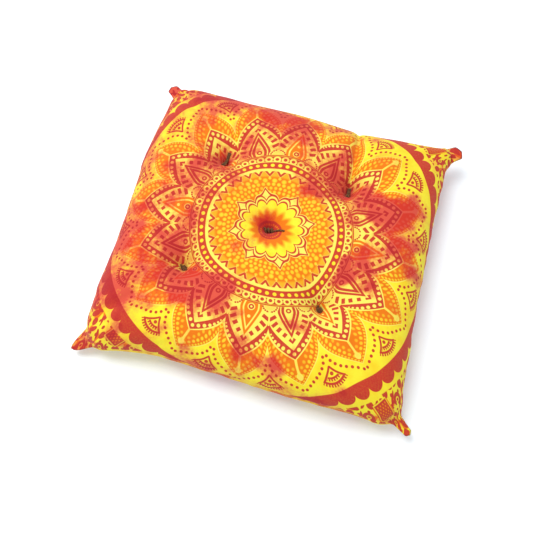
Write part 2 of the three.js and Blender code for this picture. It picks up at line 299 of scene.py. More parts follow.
# Colours as a screen shows them
YELLOW = (255, 238, 50)
DEEP_YELLOW = (253, 208, 26)
PALE = (253, 238, 100)
ORANGE = (240, 124, 0)
DYED_ORANGE = (244, 114, 14)
DYED_RED = (213, 41, 31)
DYED_PEACH = (246, 160, 68)
DYED_PINK = (221, 71, 62)
INK_RED = (204, 54, 38)
DYED_INK = (184, 32, 36)
YARN_DARK = (72, 43, 17)
YARN_LIGHT = (130, 86, 38)
# The weave: threads apart, and how deep its relief is
THREAD = 0.7
WEAVE_DEPTH = 0.12
YARN_RELIEF = 0.15

# Where the top and the underside lie on the square sheet that their colours are baked to: size, corner
TOP_ON_SHEET = (0.66, 0.004)
UNDER_ON_SHEET = (0.325, 0.672)

# The cloth simulation: its steps, how far a point may move, the slack in the cut panels, where it fades
# out beside an ear, and the cloth's own settings
SIM_FRAMES = 24
SIM_CAP = 8.0
SIM_SLACK = 1.03
EAR_STILL = 0.4
CLOTH = {
    "quality": 8,
    "mass": 0.3,
    "tension_stiffness": 25,
    "compression_stiffness": 25,
    "shear_stiffness": 12,
    "bending_stiffness": 1.0,
    "tension_damping": 10,
    "compression_damping": 10,
    "bending_damping": 1.0,
    "air_damping": 2.0,
    "use_pressure": True,
    "uniform_pressure_force": 6.0,
}

# Light and floor. The floor's colours are light, not screen values.
ROOM_LIGHT = 0.76
LAMP_WATTS = 25
LAMP_SIZE = 1.1
LAMP_PLACE = (-0.58, 0.10, 1.65)
FLOOR_HALF = 3.0
# The floor's colour and its glow are tinted cool to cancel the warm light that the cushion bounces onto it.
# The glow is painted light that keeps the floor's shadows pale.
FLOOR_WHITE = (0.82, 0.88, 0.92, 1)
FLOOR_LIT = (0.72, 0.82, 0.86, 1)
FLOOR_GLOW = 0.16
REFLECTED = 0.78


def make_camera():
    """The photograph's camera: its angle, distance, lens and small roll."""
    azimuth = math.radians(CAMERA["azimuth"])
    elevation = math.radians(CAMERA["elevation"])
    back = Vector((
        math.sin(azimuth) * math.cos(elevation),
        -math.cos(azimuth) * math.cos(elevation),
        math.sin(elevation),
    ))
    data = bpy.data.cameras.new("camera")
    data.sensor_width = SENSOR_MM
    data.sensor_fit = "HORIZONTAL"
    data.lens = CAMERA["focal_pixels"] * SENSOR_MM / PHOTO_PIXELS
    camera = bpy.data.objects.new("camera", data)
    camera.location = Vector(CAMERA["target"]) + back * CAMERA["distance"]
    turn = back.to_track_quat("Z", "Y").to_matrix()
    roll = math.radians(CAMERA["roll"])
    right, up = turn.col[0].copy(), turn.col[1].copy()
    turn.col[0] = math.cos(roll) * right + math.sin(roll) * up
    turn.col[1] = -math.sin(roll) * right + math.cos(roll) * up
    camera.rotation_mode = "QUATERNION"
    camera.rotation_quaternion = turn.to_quaternion()
    bpy.context.scene.collection.objects.link(camera)
    bpy.context.scene.camera = camera


def along_table(rows, at):
    """A smooth curve through a table's rows, evaluated at an array of places."""
    rows = np.array(rows, float)
    k = np.clip(np.searchsorted(rows[:, 0], at, side="left") - 1, 0, len(rows) - 2)
    before, start = rows[np.maximum(k - 1, 0)], rows[k]
    end, after = rows[k + 1], rows[np.minimum(k + 2, len(rows) - 1)]
    span = end[..., 0] - start[..., 0]
    t = (at - start[..., 0]) / span
    slope_in = (end[..., 1] - before[..., 1]) / (end[..., 0] - before[..., 0]) * span
    slope_out = (after[..., 1] - start[..., 1]) / (after[..., 0] - start[..., 0]) * span
    return (
        (2 * t**3 - 3 * t**2 + 1) * start[..., 1] + (t**3 - 2 * t**2 + t) * slope_in
        + (3 * t**2 - 2 * t**3) * end[..., 1] + (t**3 - t**2) * slope_out
    )


def eased(share):
    """0 to 1 with a slow start and a slow end."""
    return share * share * (3 - 2 * share)


def distance(x, y, place):
    """How far arrays of places are from one place."""
    return np.hypot(x - place[0], y - place[1])


def rise(w, rounding):
    """How full the cushion is at -1 to 1 across it: 0 at the seam, 1 once it has levelled out."""
    inward = np.minimum(1, 0.5 * SIDE * (1 - np.abs(w)) / rounding)
    return (1 - (1 - inward) ** ROUNDNESS) ** (1 / ROUNDNESS)


def cloth_lengths(rounding, climb):
    """Places from the middle of a panel to its seam, and how much cloth lies up to each, in mm."""
    places = 1 - np.linspace(1, 0, SECTION_POINTS) ** 2
    steps = np.hypot(np.diff(0.5 * SIDE * places), np.diff(climb * rise(places, rounding)))
    lengths = np.concatenate([[0], np.cumsum(steps)])
    return places, lengths * 0.5 * CUT_SIDE / lengths[-1]


def even_lines(cells):
    """Grid lines from -1 to 1 that lie evenly on the cut cloth, and their places on it in mm."""
    places, lengths = cloth_lengths(TOP_ROUNDING, CROWN - SEAM_HEIGHT)
    cut = np.linspace(-0.5 * CUT_SIDE, 0.5 * CUT_SIDE, cells + 1)
    return np.sign(cut) * np.interp(np.abs(cut), lengths, places), cut


def seam_height(x, y):
    """The seam over the floor: level, and bending up or down to each ear."""
    height = np.full_like(x, SEAM_HEIGHT)
    for ear in EARS:
        away = distance(x, y, ear["tip"]) / ear["reach"]
        height += (ear["height"] - SEAM_HEIGHT) * np.exp(-(away**SEAM_BEND))
    return height


def tuft_pull(x, y):
    """How much of a tuft's depth the top loses at each place, 0 to 1."""
    pull = np.zeros_like(x)
    for tuft in TUFTS.values():
        away = distance(x, y, tuft["place"])
        pull += np.exp(-(np.hypot(away, TUFT_SEAT) - TUFT_SEAT) / TUFT_REACH)
    return np.minimum(pull, 1)


def beside_line(x, y, start, end):
    """How far along a line each place is, 0 to 1, and how far from it in mm."""
    dx, dy = end[0] - start[0], end[1] - start[1]
    along = np.clip(((x - start[0]) * dx + (y - start[1]) * dy) / (dx * dx + dy * dy), 0, 1)
    return along, np.hypot(x - start[0] - along * dx, y - start[1] - along * dy)


def crease_depth(x, y):
    """The depth of the soft creases at each place."""
    depth = np.zeros_like(x)
    for start, end, deepest, width in CREASES:
        depth += deepest * np.exp(-((beside_line(x, y, start, end)[1] / width) ** 2))
    return depth


def plan_places(lines, cut):
    """The grid seen from above, with the cloth of the four ears drawn out to their tips."""
    u, v = np.meshgrid(lines, lines)
    x = along_table(SIDES["left"], v)
    x = x + (along_table(SIDES["right"], v) - x) * (u + 1) / 2
    y = along_table(SIDES["near"], u)
    y = y + (along_table(SIDES["far"], u) - y) * (v + 1) / 2
    cut_x, cut_y = np.meshgrid(cut, cut)
    for ear in EARS:
        side_x, side_y = np.sign(ear["tip"])
        from_x, from_y = 0.5 * CUT_SIDE - side_x * cut_x, 0.5 * CUT_SIDE - side_y * cut_y
        back = (from_x + from_y) / math.sqrt(2)
        across = (from_x - from_y) / np.maximum(from_x + from_y, 1e-6) * side_x * side_y
        across *= along_table(ear["widths"], np.minimum(back, ear["widths"][-1][0]))
        way = math.radians(ear["points"])
        ear_x = ear["tip"][0] - back * math.cos(way) - across * math.sin(way)
        ear_y = ear["tip"][1] - back * math.sin(way) + across * math.cos(way)
        whole, gone = ear["follows"]
        share = eased(np.clip((gone - back) / (gone - whole), 0, 1))
        x += (ear_x - x) * share
        y += (ear_y - y) * share
    return u, v, x, y


def stuffed_shape():
    """Top and underside grids of points in mm, [row, column, xyz]."""
    lines, cut = even_lines(SIM_CELLS)
    u, v, x, y = plan_places(lines, cut)
    seam = seam_height(x, y)
    top_full = rise(u, TOP_ROUNDING) * rise(v, TOP_ROUNDING)
    pulled = TUFT_DEPTH * tuft_pull(x, y) + crease_depth(x, y)
    top = np.stack([x, y, seam + (CROWN - seam - pulled) * top_full], -1)
    under_full = rise(u, FLOOR_ROUNDING) * rise(v, FLOOR_ROUNDING)
    lifted = np.zeros_like(x)
    for tuft in TUFTS.values():
        away = np.minimum(1, distance(x, y, tuft["place"]) / UNDER_REACH)
        lifted += UNDER_DEPTH * (1 - away) ** 2
    under = np.stack([x, y, seam * (1 - under_full) + lifted * under_full], -1)
    return top, under


def flat_places(cells):
    """Where each point of the top and of the underside lies on its cut panel, in mm."""
    lines, cut = even_lines(cells)
    places, lengths = cloth_lengths(FLOOR_ROUNDING, SEAM_HEIGHT)
    under_cut = np.sign(lines) * np.interp(np.abs(lines), places, lengths)
    return np.stack(np.meshgrid(cut, cut), -1), np.stack(np.meshgrid(under_cut, under_cut), -1)


def sewn_faces(cells):
    """Quads of the top and of the underside, which share the points along the seam."""
    n = cells + 1
    index = np.arange(n * n).reshape(n, n)
    under = index.copy()
    under[1:-1, 1:-1] = n * n + np.arange((n - 2) ** 2).reshape(n - 2, n - 2)
    quads = [np.stack([g[:-1, :-1], g[:-1, 1:], g[1:, 1:], g[1:, :-1]], -1).reshape(-1, 4)
             for g in (index, under)]
    return np.concatenate([quads[0], quads[1][:, ::-1]]), under


def sewn_points(top, under):
    """The points of both panels, with those on the seam only once."""
    within = under[1:-1, 1:-1]
    return np.concatenate([grid.reshape(-1, grid.shape[-1]) for grid in (top, within)])


def new_object(name, points, faces):
    """A mesh object in the scene, from points in mm."""
    mesh = bpy.data.meshes.new(name)
    mesh.from_pydata((points * MM).tolist(), [], faces)
    mesh.update()
    made = bpy.data.objects.new(name, mesh)
    bpy.context.scene.collection.objects.link(made)
    return made


def settle(top, under):
    """Lets the cut panels find their own gathers, with the tufts, ears and resting area held."""
    faces, under_index = sewn_faces(SIM_CELLS)
    rest = sewn_points(top, under)
    flat = sewn_points(*flat_places(SIM_CELLS)) * SIM_SLACK
    body = new_object("settling", rest, faces.tolist())
    held = body.vertex_groups.new(name="held")
    x, y, z = rest.T
    floor = np.isin(np.arange(len(rest)), under_index) & (z < 1.0)
    held.add(np.where(floor)[0].tolist(), 1.0, "REPLACE")
    spots = [(tuft["place"], TUFT_HELD) for tuft in TUFTS.values()]
    spots += [(ear["tip"], ear["follows"][0]) for ear in EARS]
    for place, reach in spots:
        held.add(np.where(distance(x, y, place) < reach)[0].tolist(), 1.0, "REPLACE")
    body.shape_key_add(name="Basis")
    cut = body.shape_key_add(name="cut")
    flat_points = np.column_stack([flat * MM, np.zeros(len(flat))])
    cut.data.foreach_set("co", flat_points.astype(np.float32).ravel())
    cut.value = 0.0
    cloth = body.modifiers.new("cloth", "CLOTH")
    for setting, value in CLOTH.items():
        setattr(cloth.settings, setting, value)
    cloth.settings.rest_shape_key = cut
    cloth.settings.vertex_group_mass = "held"
    cloth.settings.effector_weights.gravity = 0
    cloth.collision_settings.use_collision = False
    cloth.point_cache.frame_start = 1
    cloth.point_cache.frame_end = SIM_FRAMES
    for step in range(1, SIM_FRAMES + 1):
        bpy.context.scene.frame_set(step)
    shown = body.evaluated_get(bpy.context.evaluated_depsgraph_get())
    result = np.array([v.co for v in shown.data.vertices]) / MM
    bpy.context.scene.frame_set(1)
    bpy.data.objects.remove(body)
    move = result - rest
    far = np.linalg.norm(move, axis=1, keepdims=True) / SIM_CAP
    move *= np.tanh(far) / np.maximum(far, 1e-9)
    for ear in EARS:
        away = distance(x, y, ear["tip"]) / ear["follows"][1] - EAR_STILL
        move *= np.clip(away, 0, 1)[:, None]
    settled = rest + move
    settled[:, 2] = np.maximum(settled[:, 2], 0.0)
    n = SIM_CELLS + 1
    return settled[: n * n].reshape(n, n, 3), settled[under_index]


def finer(grid, cells):
    """The same surface on a finer grid, by smooth curves along rows and then columns."""
    for _ in range(2):
        last = len(grid) - 1
        at = np.linspace(0, last, cells + 1)
        k = np.minimum(at.astype(int), last - 1)
        t = (at - k)[:, None, None]
        before, start = grid[np.maximum(k - 1, 0)], grid[k]
        end, after = grid[k + 1], grid[np.minimum(k + 2, last)]
        grid = 0.5 * (
            2 * start + (end - before) * t + (2 * before - 5 * start + 4 * end - after) * t**2
            + (3 * start - before - 3 * end + after) * t**3
        )
        grid = grid.transpose(1, 0, 2)
    return grid


def soft_noise(rng, points, bumps):
    """Smooth bumps between -1 and 1 on a square grid, with about this many across it."""
    values = rng.uniform(-1, 1, (bumps + 1, bumps + 1, 1))
    return finer(values, points - 1)[..., 0]


def pressed(x, y, start, end, first, last):
    """How far along a fold each place is, and the fold's profile, with its half width at both ends."""
    along, away = beside_line(x, y, start, end)
    return along, np.exp(-((away / (first + (last - first) * along)) ** 2))


def fold_depth(x, y, rng):
    """The sharper folds: the listed ones, and short puckers all round each tuft."""
    depth = np.zeros_like(x)
    for start, end, deepest, first, last in FOLDS:
        along, profile = pressed(x, y, start, end, first, last)
        depth += deepest * profile * (1 - FOLD_FADE * along)
    for tuft in TUFTS.values():
        ways = np.radians(360 / PUCKERS * (np.arange(PUCKERS) + rng.uniform(-0.3, 0.3, PUCKERS)))
        for way, reach in zip(ways, rng.uniform(*PUCKER_ENDS, PUCKERS)):
            ends = [np.add(tuft["place"], far * np.array([math.cos(way), math.sin(way)]))
                    for far in (PUCKER_START, reach)]
            along, profile = pressed(x, y, *ends, *PUCKER_WIDTHS)
            depth += PUCKER_DEPTH * (1 - along) ** PUCKER_FADE * profile
    return depth


def dress(top, under):
    """Presses the seam's groove and puckers, the folds and the lumps of the filling into the cloth."""
    n = FINE_CELLS + 1
    rng = np.random.default_rng(SEED)
    to_side = 0.5 * CUT_SIDE - np.abs(np.linspace(-0.5 * CUT_SIDE, 0.5 * CUT_SIDE, n))
    to_seam = np.minimum(*np.meshgrid(to_side, to_side))
    off_seam = 1 - np.exp(-((to_seam / SEAM_FADE) ** 2))
    top[..., 2] -= fold_depth(top[..., 0], top[..., 1], rng) * off_seam
    for height, bumps in LUMPS:
        top[..., 2] += height * soft_noise(rng, n, bumps) * off_seam
    tight = 0.55 + 0.45 * np.abs(soft_noise(rng, n, GROOVE_BUMPS))
    groove = SEAM_GROOVE * tight * np.exp(-((to_seam / GROOVE_REACH) ** 2))
    band = np.exp(-(((to_seam - PUCKER_BAND) / PUCKER_BAND) ** 2))
    pucker = SEAM_PUCKER * soft_noise(rng, n, SEAM_PUCKER_BUMPS) * band
    wave = SEAM_WAVE * soft_noise(rng, n, WAVE_BUMPS) * np.exp(-to_seam / WAVE_REACH)
    for panel in (top, under):
        outward = panel[..., :2] / np.maximum(np.linalg.norm(panel[..., :2], axis=-1, keepdims=True), 1)
        panel[..., :2] += outward * (pucker + wave - groove)[..., None]
        panel[..., 2] = np.maximum(panel[..., 2], 0)
    return top, under


def drawn_in(flat, top):
    """The cloth's own places, moved where each tuft has drawn the cloth towards its dimple."""
    moved = flat.copy()
    for tuft in TUFTS.values():
        nearest_point = np.argmin(distance(top[..., 0], top[..., 1], tuft["place"]))
        away = flat - flat.reshape(-1, 2)[nearest_point]
        reach = np.linalg.norm(away, axis=-1, keepdims=True) / GATHER_REACH
        moved += away / GATHER_REACH * tuft["gathers"] * np.exp(1 - reach)
        moved += np.array(tuft["slipped"]) * np.exp(-(reach**2))
    for place, shift, reach in SLIPS:
        share = np.exp(-((distance(flat[..., 0], flat[..., 1], place) / reach) ** 2))
        moved -= share[..., None] * shift
    return moved


def add_places(mesh, name, places):
    """Stores a flat place, from 0 to 1, for every corner of the mesh's faces."""
    layer = mesh.uv_layers.new(name=name)
    layer.data.foreach_set("uv", places.astype(np.float32).ravel())


def make_cushion():
    """The stuffed cushion with its two panels, their places on the cut cloth and their dye, one patch of
    which is painted shade.
    """
    top, under = stuffed_shape()
    top, under = settle(top, under)
    top, under = dress(finer(top, FINE_CELLS), finer(under, FINE_CELLS))
    faces, _ = sewn_faces(FINE_CELLS)
    cushion = new_object("cushion_cover", sewn_points(top, under), faces.tolist())
    mesh = cushion.data
    panels = flat_places(FINE_CELLS)
    drawn_top = drawn_in(panels[0], top)
    drawn = sewn_points(drawn_top, panels[1])[faces.ravel()]
    add_places(mesh, "cloth", (drawn - PRINT_CENTRE) * PRINT_STRETCH * MM + 0.5)
    sheet = sewn_points(*panels)[faces.ravel()] / CUT_SIDE + 0.5
    on_top, on_under = (sheet * scale + corner for scale, corner in (TOP_ON_SHEET, UNDER_ON_SHEET))
    is_under = np.repeat([0, 1], len(faces) // 2)
    add_places(mesh, "OFBake", np.where(np.repeat(is_under, 4)[:, None] == 1, on_under, on_top))
    mesh.polygons.foreach_set("material_index", is_under.astype(np.int32))
    rng = np.random.default_rng(SEED + 1)
    # The stored dye amount also holds one patch of painted shade on the right side's slope.
    amounts = [dye_and_shade_amount(drawn_top, rng, False)[..., None], dye_and_shade_amount(panels[1], rng, True)[..., None]]
    stored = mesh.attributes.new("dye", "FLOAT", "POINT")
    stored.data.foreach_set("value", sewn_points(*amounts).astype(np.float32).ravel())
    mesh.shade_smooth()
    return cushion


def tube(path, radius, sides):
    """A round tube along a path of points, closed at its ends: its points and its faces."""
    path = np.asarray(path, float)
    ahead = np.gradient(path, axis=0)
    ahead /= np.linalg.norm(ahead, axis=1, keepdims=True)
    side = np.zeros_like(path)
    last = np.cross(ahead[0], (0.3, 0.5, 0.8))
    for k, way in enumerate(ahead):
        last = last - way * np.dot(last, way)
        last /= np.linalg.norm(last)
        side[k] = last
    up = np.cross(ahead, side)
    turns = 2 * math.pi * np.arange(sides) / sides
    ring = np.cos(turns)[:, None, None] * side + np.sin(turns)[:, None, None] * up
    points = (path + radius * ring).transpose(1, 0, 2).reshape(-1, 3)
    faces = []
    for k in range(len(path) - 1):
        for j in range(sides):
            a, b = k * sides + j, k * sides + (j + 1) % sides
            faces.append((a, b, b + sides, a + sides))
    faces.append(tuple(range(sides))[::-1])
    faces.append(tuple(range(len(points) - sides, len(points))))
    return points, faces


def smooth_path(path, step):
    """The same path with points a fixed step apart, rounded at its corners."""
    path = np.asarray(path, float)
    lengths = np.concatenate([[0], np.cumsum(np.linalg.norm(np.diff(path, axis=0), axis=1))])
    at = np.linspace(0, lengths[-1], max(8, int(lengths[-1] / step)))
    path = np.stack([np.interp(at, lengths, path[:, k]) for k in range(3)], -1)
    for _ in range(3):
        path[1:-1] = 0.25 * path[:-2] + 0.5 * path[1:-1] + 0.25 * path[2:]
    return path


def spun(path, thick, rng):
    """Tubes for a yarn of twisted plies with loose fibres standing off it."""
    path = smooth_path(path, YARN_STEP)
    ahead = np.gradient(path, axis=0)
    steps = np.linalg.norm(ahead, axis=1)
    ahead /= steps[:, None]
    side = np.cross(ahead, (0.1, 0.2, 1.0))
    side /= np.linalg.norm(side, axis=1, keepdims=True)
    up = np.cross(side, ahead)
    angle = 2 * math.pi * np.cumsum(steps) / YARN_TWIST
    tubes = []
    for ply in range(PLIES):
        turn = angle + 2 * math.pi * ply / PLIES
        offset = np.cos(turn)[:, None] * side + np.sin(turn)[:, None] * up
        tubes.append(tube(path + PLY_PLACE * thick * offset, PLY_RADIUS * thick, PLY_SIDES))
    for k in rng.integers(0, len(path), FIBRES):
        way = rng.normal(size=3)
        way[2] = abs(way[2])
        way /= np.linalg.norm(way)
        bend = rng.normal(size=3) * FIBRE_BEND
        reach = rng.uniform(0.5, 1.0) * thick
        fibre = [path[k] + way * reach * t + bend * reach * t * t for t in (0.2, 0.6, 1.0, 1.3)]
        tubes.append(tube(fibre, FIBRE_RADIUS, FIBRE_SIDES))
    return tubes


def joined(name, tubes):
    """One smooth object of several tubes."""
    points, faces = [], []
    count = 0
    for tube_points, tube_faces in tubes:
        points.append(tube_points)
        faces += [tuple(count + k for k in face) for face in tube_faces]
        count += len(tube_points)
    made = new_object(name, np.concatenate(points), faces)
    made.data.shade_smooth()
    return made


def cloth_height(skin, x, y, from_above=True):
    """The height of the cloth over a place on the floor, met from above or from below."""
    height, way = (200, -1) if from_above else (-50, 1)
    return skin.ray_cast(Vector((x, y, height)), Vector((0, 0, way)))[0].z


def beyond(place, degrees, reach, aside=0.0):
    """The place that lies a reach away in a direction, and aside to the left of it."""
    way = math.radians(degrees)
    x = place[0] + reach * math.cos(way) - aside * math.sin(way)
    y = place[1] + reach * math.sin(way) + aside * math.cos(way)
    return x, y


def stitch(skin, tuft, rng):
    """A straight stitch of strands side by side, resting on both sides of its dimple."""
    ends = [beyond(tuft["place"], *tail) for tail in tuft["tails"]]
    start, end = (np.array([*place, cloth_height(skin, *place) + 0.5 * YARN]) for place in ends)
    lowest = cloth_height(skin, *tuft["place"]) + 0.6 * YARN
    aside = np.array([start[1] - end[1], end[0] - start[0], 0]) / np.hypot(*(end - start)[:2])
    tubes = []
    for strand in range(STRANDS):
        shift = (strand - 0.5 * (STRANDS - 1)) * 0.8 * YARN
        path = []
        for t in np.linspace(-0.04, 1.04, 24):
            point = start + (end - start) * t + aside * (shift + 0.4 * math.sin(5 * t + 2 * strand))
            sag = (0.5 * (point[2] - lowest)) * math.sin(math.pi * np.clip(t, 0, 1)) ** 0.7
            point[2] = max(point[2] - sag, cloth_height(skin, point[0], point[1]) + 0.3 * YARN)
            path.append(point)
        tubes += spun(path, YARN, rng)
    return tubes


def knot(skin, tuft, rng):
    """A wrapped knot in the dimple, and loose tails lying up its sides."""
    place = tuft["place"]
    half, thick = tuft["knot"]
    along = np.array([*beyond((0, 0), tuft["lies"], 1), 0])
    beside = np.array([-along[1], along[0], 0])
    level = cloth_height(skin, *place) + thick + 0.35 * YARN
    t = np.linspace(0, 1, 60)[:, None]
    turn = 2 * math.pi * (KNOT_TURNS * t + 0.1)
    wrap = (2 * t - 1) * (half - 0.5 * YARN) * along
    wrap = wrap + thick * np.cos(turn) * beside + thick * np.sin(turn) * np.array([0, 0, 1])
    tubes = spun(wrap + (*place, level), YARN, rng)
    for way, length in tuft["tails"]:
        path = [(*place, level)]
        for reach in np.arange(0.5 * half, length + 0.1, 1.5):
            spot_x, spot_y = beyond(place, way, reach, 0.9 * math.sin(2.6 * reach / length))
            path.append((spot_x, spot_y, cloth_height(skin, spot_x, spot_y) + 0.45 * YARN))
        tubes += spun(path, YARN * 0.9, rng)
    return tubes


def under_stitch(name, skin, tuft, rng):
    """The same tuft underneath: one plain stitch in the lifted spot, clear of the floor."""
    path = []
    for reach in np.linspace(-UNDER_STITCH, UNDER_STITCH, 9):
        x, y = beyond(tuft["place"], tuft["lies"], reach)
        sunk = 0.2 * YARN * abs(reach) / UNDER_STITCH
        path.append((x, y, cloth_height(skin, x, y, False) - 0.45 * YARN + sunk))
    return joined(name, spun(path, YARN, rng))


def make_ties(cushion):
    """The yarn of each tuft, above and below the cloth."""
    mesh = cushion.data
    points = [v.co / MM for v in mesh.vertices]
    skin = BVHTree.FromPolygons(points, [tuple(p.vertices) for p in mesh.polygons])
    rng = np.random.default_rng(SEED + 2)
    yarn = yarn_finish()
    for name, tuft in TUFTS.items():
        tied = knot(skin, tuft, rng) if tuft["knot"] else stitch(skin, tuft, rng)
        above = joined("yarn_" + name, tied)
        below = under_stitch("under_yarn_" + name, skin, tuft, rng)
        for made, node in ((above, "tie_" + name), (below, "stitch_" + name)):
            made.data.materials.append(yarn)
            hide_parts(node)
            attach(made, "root")


class Num:
    """A number worked out by a material's Math nodes, written with plain arithmetic."""

    tree = None

    def __init__(self, socket):
        self.socket = socket

    def __add__(self, other):
        return reckon("ADD", self, other)

    def __sub__(self, other):
        return reckon("SUBTRACT", self, other)

    def __mul__(self, other):
        return reckon("MULTIPLY", self, other)

    def __rsub__(self, other):
        return reckon("SUBTRACT", other, self)

    __radd__ = __add__
    __rmul__ = __mul__


def reckon(operation, *values, clamp=False):
    """A new Math node on the current tree, fed by numbers or other nodes."""
    node = Num.tree.nodes.new("ShaderNodeMath")
    node.operation = operation
    node.use_clamp = clamp
    for socket, value in zip(node.inputs, values):
        if isinstance(value, Num):
            Num.tree.links.new(value.socket, socket)
        else:
            socket.default_value = value
    return Num(node.outputs[0])


def larger(first, *others):
    """The largest of two or more numbers."""
    for other in others:
        first = reckon("MAXIMUM", first, other)
    return first


def size(a):
    return reckon("ABSOLUTE", a)


def root(a):
    return reckon("SQRT", a)


def power(a, b):
    return reckon("POWER", a, b)


def cosine(a):
    """The cosine of an angle in radians."""
    return reckon("COSINE", a)


def sine(a):
    return reckon("SINE", a)


def nearest(a):
    """The nearest whole number."""
    return reckon("ROUND", a)


def reach_of(x, y):
    """How far a place is from the point that its two coordinates start at."""
    return root(x * x + y * y)


def turn_of(y, x):
    """The direction of a place in degrees."""
    return reckon("ARCTAN2", y, x) * (1 / DEGREE)


def zigzag(a, pitch):
    """How far a number is from the nearest multiple of the pitch."""
    return reckon("PINGPONG", a, pitch / 2)


def triangle(a):
    """0 at even numbers and 1 at odd ones, straight between."""
    return reckon("PINGPONG", a, 1.0)


def leaning(a, pitch):
    """As zigzag, with its sign."""
    steps = nearest(a * (1 / pitch))
    return reckon("MULTIPLY_ADD", steps, -pitch, a)


def clamped(value, slope, start):
    """A straight line of a value, kept from 0 to 1."""
    return reckon("MULTIPLY_ADD", value, slope, start, clamp=True)


def without(a, b):
    """One mask where the other is not."""
    return a * (1 - b)


class Inks:
    """The strength of each printed layer, gathered as the print is drawn."""

    def __init__(self):
        self.layers = {}

    def add(self, name, mask):
        self.layers[name] = larger(self.layers[name], mask) if name in self.layers else mask

    def remove(self, name, mask):
        self.layers[name] = without(self.layers[name], mask)


def inside(value, edge, blur=BLUR):
    """1 where a value is under its edge and 0 over it, with a soft step."""
    return clamped(value, -1 / blur, edge / blur + 0.5)


def outside(value, edge, blur=BLUR):
    """0 where a value is under its edge and 1 over it."""
    return clamped(value, 1 / blur, 0.5 - edge / blur)


def line(value, middle, half, blur=BLUR):
    """A stripe of the given half width round a value."""
    return inside(size(value - middle), half, blur)


def spot(across, along, radius, blur=BLUR):
    """A round dot, from the two distances to its middle."""
    squares = across * across + along * along
    return clamped(squares, -0.5 / (radius * blur), 0.5 * radius / blur + 0.5)


def beads(r, turn, count, first, ring, radius, blur=BLUR):
    """A ring of evenly spaced dots. first is one dot's angle in degrees."""
    aside = zigzag(turn - first, 360 / count) * (ring * DEGREE)
    return spot(r - ring, aside, radius, blur)


def brick(along, across, at_along, at_across, half_long, half_wide, lean):
    """A small block whose long side leans by an angle from the cross direction."""
    c, s = math.cos(lean * DEGREE), math.sin(lean * DEGREE)
    wide = along * c - across * s - (at_along * c - at_across * s)
    long = along * s + across * c - (at_along * s + at_across * c)
    return inside(size(wide), half_wide) * inside(size(long), half_long)


def leaf(across, along):
    """A small leaf that leans halfway between the two directions."""
    long = (across + along) * (math.sqrt(0.5) / 7.0)
    wide = (across - along) * (math.sqrt(0.5) / 3.6)
    return inside(long * long + wide * wide, 1, 0.25)


def pointed(along, across, half, start, length, bluntness):
    """0 on a petal's midline and 1 on its edge, which runs straight and then in to the tip."""
    return across * (1 / half) + power(larger(along - start, 0) * (1 / length), bluntness)


def print_middle(inks, r, turn):
    """The disc in the middle, its glow, two lobed lines and eight points, and how far past them r is."""
    inks.add("orange", inside(r - 2.5 * cosine(turn * (16 * DEGREE)), 27, 7))
    holes = larger(beads(r, turn, 24, 0, 12.6, 1.2), beads(r, turn, 12, 0, 6.2, 0.9))
    inks.add("red", without(inside(r, DISC), holes))
    lobe = zigzag(turn - 0.5 * SECTOR, SECTOR) * (2 / SECTOR)
    bulge = 6.5 - 6.5 * power(lobe, 2.2)
    point = zigzag(turn - SECTOR, 2 * SECTOR) * (1 / SECTOR)
    tip = 55 - 17 * point - 2.2 * sine(point * (2 * math.pi))
    edge = r - larger(bulge + 40, tip)
    lobes = r - 35 - bulge
    flower = inside(edge, 0)
    inks.remove("orange", outside(lobes, 0) * flower)
    inks.add("pale", outside(lobes, 0) * inside(edge, 2.4))
    inks.add("red", larger(line(lobes, 0, 1.15), line(lobes, 5, 1.15) * flower, line(edge, 0, 1.4)))
    return edge


def print_field(inks, r, turn, edge):
    """The stippled orange ring with its dots, closed by a row of V marks."""
    arm = zigzag(turn - VEE_TURN, VEE_PITCH) * (75 * DEGREE)
    lift = r - 71.5 - 1.5 * arm
    field = outside(edge, 2.4) * inside(lift, -1.4) * inside(r, FIELD_EDGE)
    blobs = larger(*[beads(r, turn, *row) for row in FIELD_DOTS])
    inks.add("orange", field - field * larger(0.75 * blobs, 0.4 * outside(r, 71, 3)))
    inks.add("pale", larger(line(r, 80.5, 2.2), line(lift, -2.1, 0.9) * inside(r, FIELD_EDGE)))
    inks.add("pale", outside(lift, 0) * inside(r, 82))
    inks.add("red", line(lift, 1.2, 2.3) * inside(r, FIELD_EDGE) * outside(r, 71.6))


def print_bands(inks, r, turn):
    """The red ring with yellow dots and the ring of small cups outside it."""
    band = without(line(r, 87.5, 4.8), beads(r, turn, BAND_DOTS, 2.8, 87.6, 2.3))
    cups = without(line(r, 98.6, 4.9), beads(r, turn, BAND_DOTS, 0, 96.6, 4.4))
    cups = without(cups, 0.7 * line(r, 101.7, 0.35))
    inks.add("pale", line(r, 96, 5.2))
    inks.add("red", larger(band, cups, beads(r, turn, BAND_DOTS, 0, 96.6, 2.2)))


